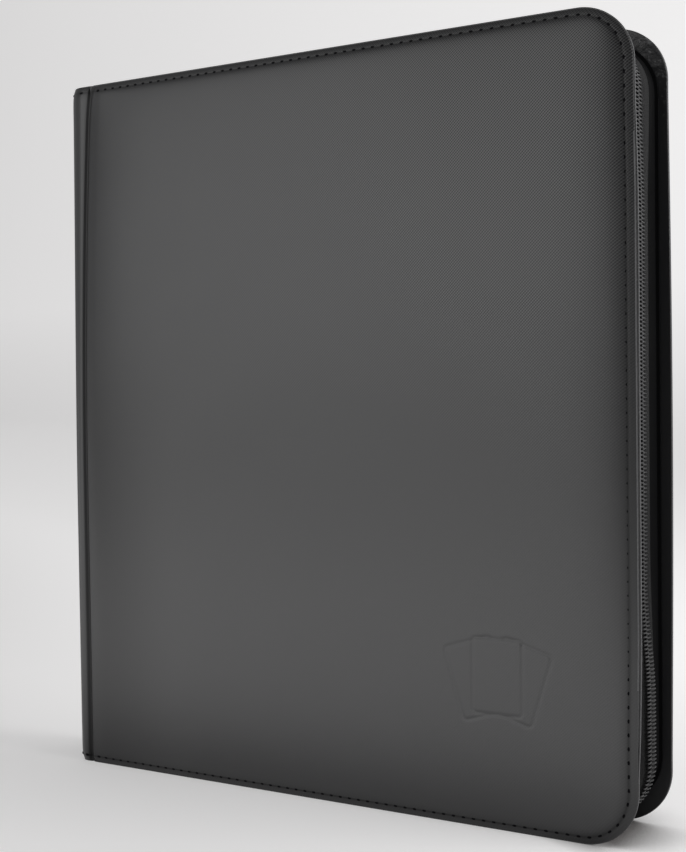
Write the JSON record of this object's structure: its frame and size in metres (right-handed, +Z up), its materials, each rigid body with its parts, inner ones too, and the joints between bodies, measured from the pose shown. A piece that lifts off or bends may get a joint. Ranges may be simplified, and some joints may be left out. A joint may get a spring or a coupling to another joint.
{
  "type": "trading card binder",
  "caption": "Zip-around padded card binder that stands upright, with side-loading nine-pocket leaves on a rounded spine.",
  "frame": {"origin": "middle of the footprint, on the surface that the binder stands on", "axes": "+Z up along the spine, +X from the spine to the opening side, -Y out of the front cover"},
  "size_m": [0.299, 0.0452, 0.34],
  "materials": {
    "pu_skin": "matte textured PU",
    "lining_pu": "smooth PU lining",
    "foam": "soft foam",
    "board": "grey board",
    "gusset_pu": "smooth PU",
    "zip_tape": "woven tape",
    "zip_nylon": "nylon coil",
    "zip_metal": "black cast metal",
    "pocket_film": "black-backed polypropylene film",
    "binding_plastic": "welded page margins"
  },
  "bodies": {
    "back_cover": {"back_skin": "pu_skin", "back_foam": "foam", "back_board": "board", "back_lining": "lining_pu", "back_gusset": "gusset_pu", "back_zip_tape": "zip_tape", "back_zip_coil": "zip_nylon", "back_zip_stop_top": "zip_metal", "back_zip_stop_bottom": "zip_metal"},
    "spine": {"spine_skin": "pu_skin", "spine_board": "board", "spine_lining": "lining_pu", "binding_cloth": "zip_tape", "page_binding": "binding_plastic"},
    "front_cover": {"front_skin": "pu_skin", "front_foam": "foam", "front_board": "board", "front_lining": "lining_pu", "front_gusset": "gusset_pu", "front_zip_tape": "zip_tape", "front_zip_coil": "zip_nylon", "front_zip_stop_top": "zip_metal", "front_zip_stop_bottom": "zip_metal"},
    "leaf_01": {"leaf_01": "pocket_film"},
    "leaf_02": {"leaf_02": "pocket_film"},
    "leaf_03": {"leaf_03": "pocket_film"},
    "leaf_04": {"leaf_04": "pocket_film"},
    "leaf_05": {"leaf_05": "pocket_film"},
    "leaf_06": {"leaf_06": "pocket_film"},
    "leaf_07": {"leaf_07": "pocket_film"},
    "leaf_08": {"leaf_08": "pocket_film"},
    "leaf_09": {"leaf_09": "pocket_film"},
    "leaf_10": {"leaf_10": "pocket_film"},
    "leaf_11": {"leaf_11": "pocket_film"},
    "leaf_12": {"leaf_12": "pocket_film"},
    "leaf_13": {"leaf_13": "pocket_film"},
    "leaf_14": {"leaf_14": "pocket_film"},
    "leaf_15": {"leaf_15": "pocket_film"},
    "leaf_16": {"leaf_16": "pocket_film"},
    "leaf_17": {"leaf_17": "pocket_film"},
    "leaf_18": {"leaf_18": "pocket_film"},
    "leaf_19": {"leaf_19": "pocket_film"},
    "leaf_20": {"leaf_20": "pocket_film"},
    "slider": {"zip_slider": "zip_metal", "zip_slider_base": "zip_metal"},
    "pull": {"zip_pull": "zip_metal"}
  },
  "joints": [
    {"name": "spine_hinge", "type": "hinge", "parent": "back_cover", "child": "spine", "pos_m": [-0.1395, 0.0204, 0.17], "axis": [0, 0, -1], "range_deg": [0, 90]},
    {"name": "front_cover_hinge", "type": "hinge", "parent": "spine", "child": "front_cover", "pos_m": [-0.1395, -0.0204, 0.17], "axis": [0, 0, -1], "range_deg": [0, 90]},
    {"name": "leaf_01_fold", "type": "hinge", "parent": "spine", "child": "leaf_01", "pos_m": [-0.1329, 0.0138, 0.17], "axis": [0, 0, -1], "range_deg": [-90, 0]},
    {"name": "leaf_02_fold", "type": "hinge", "parent": "spine", "child": "leaf_02", "pos_m": [-0.1316, 0.01235, 0.17], "axis": [0, 0, -1], "range_deg": [-90, 0]},
    {"name": "leaf_03_fold", "type": "hinge", "parent": "spine", "child": "leaf_03", "pos_m": [-0.1303, 0.01089, 0.17], "axis": [0, 0, -1], "range_deg": [-90, 0]},
    {"name": "leaf_04_fold", "type": "hinge", "parent": "spine", "child": "leaf_04", "pos_m": [-0.129, 0.00944, 0.17], "axis": [0, 0, -1], "range_deg": [-90, 0]},
    {"name": "leaf_05_fold", "type": "hinge", "parent": "spine", "child": "leaf_05", "pos_m": [-0.1277, 0.00799, 0.17], "axis": [0, 0, -1], "range_deg": [-90, 0]},
    {"name": "leaf_06_fold", "type": "hinge", "parent": "spine", "child": "leaf_06", "pos_m": [-0.1264, 0.00654, 0.17], "axis": [0, 0, -1], "range_deg": [-90, 0]},
    {"name": "leaf_07_fold", "type": "hinge", "parent": "spine", "child": "leaf_07", "pos_m": [-0.1251, 0.00508, 0.17], "axis": [0, 0, -1], "range_deg": [-90, 0]},
    {"name": "leaf_08_fold", "type": "hinge", "parent": "spine", "child": "leaf_08", "pos_m": [-0.1238, 0.00363, 0.17], "axis": [0, 0, -1], "range_deg": [-90, 0]},
    {"name": "leaf_09_fold", "type": "hinge", "parent": "spine", "child": "leaf_09", "pos_m": [-0.1225, 0.00218, 0.17], "axis": [0, 0, -1], "range_deg": [-90, 0]},
    {"name": "leaf_10_fold", "type": "hinge", "parent": "spine", "child": "leaf_10", "pos_m": [-0.1212, 0.00073, 0.17], "axis": [0, 0, -1], "range_deg": [-90, 0]},
    {"name": "leaf_11_fold", "type": "hinge", "parent": "spine", "child": "leaf_11", "pos_m": [-0.1212, -0.00073, 0.17], "axis": [0, 0, -1], "range_deg": [0, 90]},
    {"name": "leaf_12_fold", "type": "hinge", "parent": "spine", "child": "leaf_12", "pos_m": [-0.1225, -0.00218, 0.17], "axis": [0, 0, -1], "range_deg": [0, 90]},
    {"name": "leaf_13_fold", "type": "hinge", "parent": "spine", "child": "leaf_13", "pos_m": [-0.1238, -0.00363, 0.17], "axis": [0, 0, -1], "range_deg": [0, 90]},
    {"name": "leaf_14_fold", "type": "hinge", "parent": "spine", "child": "leaf_14", "pos_m": [-0.1251, -0.00508, 0.17], "axis": [0, 0, -1], "range_deg": [0, 90]},
    {"name": "leaf_15_fold", "type": "hinge", "parent": "spine", "child": "leaf_15", "pos_m": [-0.1264, -0.00654, 0.17], "axis": [0, 0, -1], "range_deg": [0, 90]},
    {"name": "leaf_16_fold", "type": "hinge", "parent": "spine", "child": "leaf_16", "pos_m": [-0.1277, -0.00799, 0.17], "axis": [0, 0, -1], "range_deg": [0, 90]},
    {"name": "leaf_17_fold", "type": "hinge", "parent": "spine", "child": "leaf_17", "pos_m": [-0.129, -0.00944, 0.17], "axis": [0, 0, -1], "range_deg": [0, 90]},
    {"name": "leaf_18_fold", "type": "hinge", "parent": "spine", "child": "leaf_18", "pos_m": [-0.1303, -0.01089, 0.17], "axis": [0, 0, -1], "range_deg": [0, 90]},
    {"name": "leaf_19_fold", "type": "hinge", "parent": "spine", "child": "leaf_19", "pos_m": [-0.1316, -0.01235, 0.17], "axis": [0, 0, -1], "range_deg": [0, 90]},
    {"name": "leaf_20_fold", "type": "hinge", "parent": "spine", "child": "leaf_20", "pos_m": [-0.1329, -0.0138, 0.17], "axis": [0, 0, -1], "range_deg": [0, 90]},
    {"name": "slider_slide", "type": "slide", "parent": "back_cover", "child": "slider", "axis": [1, 0, 0], "range_m": [0, 0.234]},
    {"name": "pull_hinge", "type": "hinge", "parent": "slider", "child": "pull", "pos_m": [-0.12, 0, 0.3343], "axis": [0, -1, 0], "range_deg": [0, 170]}
  ],
  "couplings": [
    {"joint": "front_cover_hinge", "follows": "spine_hinge", "ratio": 1},
    {"joint": "leaf_01_fold", "follows": "spine_hinge", "ratio": -1},
    {"joint": "leaf_02_fold", "follows": "spine_hinge", "ratio": -1},
    {"joint": "leaf_03_fold", "follows": "spine_hinge", "ratio": -1},
    {"joint": "leaf_04_fold", "follows": "spine_hinge", "ratio": -1},
    {"joint": "leaf_05_fold", "follows": "spine_hinge", "ratio": -1},
    {"joint": "leaf_06_fold", "follows": "spine_hinge", "ratio": -1},
    {"joint": "leaf_07_fold", "follows": "spine_hinge", "ratio": -1},
    {"joint": "leaf_08_fold", "follows": "spine_hinge", "ratio": -1},
    {"joint": "leaf_09_fold", "follows": "spine_hinge", "ratio": -1},
    {"joint": "leaf_10_fold", "follows": "spine_hinge", "ratio": -1},
    {"joint": "leaf_11_fold", "follows": "spine_hinge", "ratio": 1},
    {"joint": "leaf_12_fold", "follows": "spine_hinge", "ratio": 1},
    {"joint": "leaf_13_fold", "follows": "spine_hinge", "ratio": 1},
    {"joint": "leaf_14_fold", "follows": "spine_hinge", "ratio": 1},
    {"joint": "leaf_15_fold", "follows": "spine_hinge", "ratio": 1},
    {"joint": "leaf_16_fold", "follows": "spine_hinge", "ratio": 1},
    {"joint": "leaf_17_fold", "follows": "spine_hinge", "ratio": 1},
    {"joint": "leaf_18_fold", "follows": "spine_hinge", "ratio": 1},
    {"joint": "leaf_19_fold", "follows": "spine_hinge", "ratio": 1},
    {"joint": "leaf_20_fold", "follows": "spine_hinge", "ratio": 1}
  ]
}
